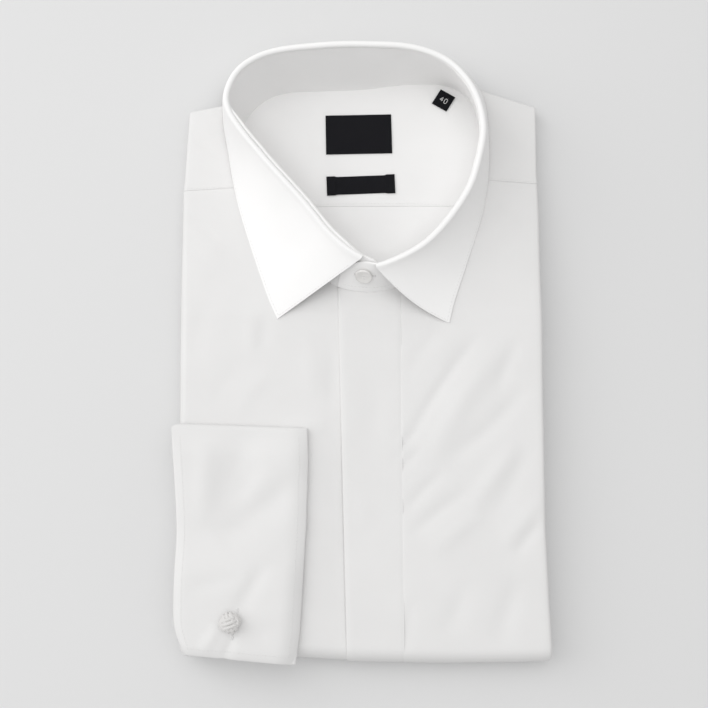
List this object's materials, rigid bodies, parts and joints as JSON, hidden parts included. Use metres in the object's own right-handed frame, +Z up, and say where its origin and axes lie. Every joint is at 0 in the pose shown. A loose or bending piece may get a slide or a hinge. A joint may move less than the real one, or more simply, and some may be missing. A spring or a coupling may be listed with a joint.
{
  "type": "folded dress shirt",
  "caption": "Long-sleeved dress shirt folded flat for the shelf, collar standing open, with a hidden-button front and a turned-back link cuff.",
  "frame": {"origin": "centre of the underside's bounding rectangle, on the surface that the shirt lies on", "axes": "+X across the shirt towards the viewer's right, +Y from the folded hem end to the collar, +Z up through the layers"},
  "size_m": [0.2094, 0.3493, 0.0461],
  "materials": {
    "white_cotton": "fine white poplin, matt with a faint sheen",
    "fused_cotton": "fine white poplin, smooth over a stiff lining",
    "inner_cotton": "fine white poplin in shade",
    "pearl_button": "glossy pearl white",
    "silk_cord": "wound silky cord",
    "woven_label": "black satin weave"
  },
  "bodies": {
    "root": {"folded_layers": "inner_cotton", "front_right": "white_cotton", "front_left": "white_cotton", "fly_placket": "white_cotton", "yoke_outer": "white_cotton", "yoke_inner": "white_cotton", "back_panel": "white_cotton", "collar_stand": "fused_cotton", "collar_leaf": "fused_cotton", "collar_button": "pearl_button", "sleeve_right": "white_cotton", "cuff_right": "fused_cotton", "cuff_link": "silk_cord", "label_main": "woven_label", "label_fit": "woven_label", "label_size": "woven_label"}
  },
  "joints": []
}
